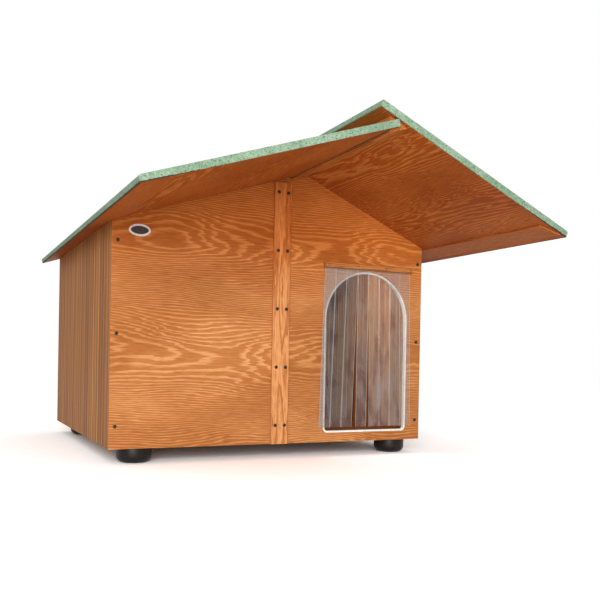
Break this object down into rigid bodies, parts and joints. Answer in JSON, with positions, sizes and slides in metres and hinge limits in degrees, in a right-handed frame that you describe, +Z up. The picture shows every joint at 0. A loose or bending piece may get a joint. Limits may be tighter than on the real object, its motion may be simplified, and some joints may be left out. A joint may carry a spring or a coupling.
{
  "type": "dog house",
  "caption": "Large wooden dog house with an unequal two-pitch porch roof, a lifting left roof panel and an arched doorway behind a hanging strip curtain.",
  "frame": {"origin": "on the ground, under the centre of the bounding box", "axes": "+X to the right seen from the front, +Y from the front wall to the rear wall, +Z up; the doorway faces -Y"},
  "size_m": [1.5256, 2.063, 1.2054],
  "materials": {
    "stained_plywood": "satin",
    "stained_boards": "satin",
    "stained_timber": "satin",
    "deck_plywood": "satin",
    "rough_pine": "matte",
    "green_roofing_felt": "matte",
    "clear_pvc": "gloss",
    "white_plastic": "satin",
    "black_plastic": "matte",
    "zinc_plated_steel": "brushed"
  },
  "bodies": {
    "house": {"floor_bearer_left": "rough_pine", "floor_bearer_middle": "rough_pine", "floor_bearer_right": "rough_pine", "left_sole_plate": "rough_pine", "right_sole_plate": "rough_pine", "floor_panel": "deck_plywood", "post_front_left": "rough_pine", "post_front_right": "rough_pine", "post_rear_left": "rough_pine", "post_rear_right": "rough_pine", "left_wall_plate": "rough_pine", "right_wall_plate": "rough_pine", "left_wall_boards": "stained_boards", "right_wall_boards": "stained_boards", "front_panel_left": "stained_plywood", "front_panel_right": "stained_plywood", "rear_panel_left": "stained_plywood", "rear_panel_right": "stained_plywood", "front_cover_batten": "stained_timber", "rear_cover_batten": "stained_timber", "curtain_rail": "stained_timber", "ridge_beam": "stained_timber", "right_roof_deck": "deck_plywood", "right_eave_board": "deck_plywood", "right_roof_felt": "green_roofing_felt", "foot_front_left": "black_plastic", "foot_front_right": "black_plastic", "foot_rear_left": "black_plastic", "foot_rear_right": "black_plastic", "door_edging": "white_plastic", "curtain_tabs": "clear_pvc", "front_hinge_beam_leaf": "zinc_plated_steel", "front_hinge_pin": "zinc_plated_steel", "middle_hinge_beam_leaf": "zinc_plated_steel", "middle_hinge_pin": "zinc_plated_steel", "rear_hinge_beam_leaf": "zinc_plated_steel", "rear_hinge_pin": "zinc_plated_steel"},
    "left_roof": {"left_roof_deck": "deck_plywood", "left_roof_felt": "green_roofing_felt", "front_hinge_roof_leaf": "zinc_plated_steel", "middle_hinge_roof_leaf": "zinc_plated_steel", "rear_hinge_roof_leaf": "zinc_plated_steel"},
    "strip_1": {"curtain_strip_1": "clear_pvc"},
    "strip_2": {"curtain_strip_2": "clear_pvc"},
    "strip_3": {"curtain_strip_3": "clear_pvc"},
    "strip_4": {"curtain_strip_4": "clear_pvc"},
    "strip_5": {"curtain_strip_5": "clear_pvc"},
    "strip_6": {"curtain_strip_6": "clear_pvc"},
    "strip_7": {"curtain_strip_7": "clear_pvc"},
    "strip_8": {"curtain_strip_8": "clear_pvc"}
  },
  "joints": [
    {"name": "left_roof_lift", "type": "hinge", "parent": "house", "child": "left_roof", "pos_m": [0.02722, 0, 1.14991], "axis": [0, 1, 0], "range_deg": [0, 55]},
    {"name": "strip_1_swing", "type": "hinge", "parent": "house", "child": "strip_1", "pos_m": [0.21047, -0.2935, 0.7727], "axis": [-1, 0, 0], "range_deg": [0, 75]},
    {"name": "strip_2_swing", "type": "hinge", "parent": "house", "child": "strip_2", "pos_m": [0.26197, -0.2935, 0.7727], "axis": [-1, 0, 0], "range_deg": [0, 75]},
    {"name": "strip_3_swing", "type": "hinge", "parent": "house", "child": "strip_3", "pos_m": [0.31347, -0.2935, 0.7727], "axis": [-1, 0, 0], "range_deg": [0, 75]},
    {"name": "strip_4_swing", "type": "hinge", "parent": "house", "child": "strip_4", "pos_m": [0.36497, -0.2935, 0.7727], "axis": [-1, 0, 0], "range_deg": [0, 75]},
    {"name": "strip_5_swing", "type": "hinge", "parent": "house", "child": "strip_5", "pos_m": [0.41647, -0.2935, 0.7727], "axis": [-1, 0, 0], "range_deg": [0, 75]},
    {"name": "strip_6_swing", "type": "hinge", "parent": "house", "child": "strip_6", "pos_m": [0.46797, -0.2935, 0.7727], "axis": [-1, 0, 0], "range_deg": [0, 75]},
    {"name": "strip_7_swing", "type": "hinge", "parent": "house", "child": "strip_7", "pos_m": [0.51947, -0.2935, 0.7727], "axis": [-1, 0, 0], "range_deg": [0, 75]},
    {"name": "strip_8_swing", "type": "hinge", "parent": "house", "child": "strip_8", "pos_m": [0.57097, -0.2935, 0.7727], "axis": [-1, 0, 0], "range_deg": [0, 75]}
  ]
}
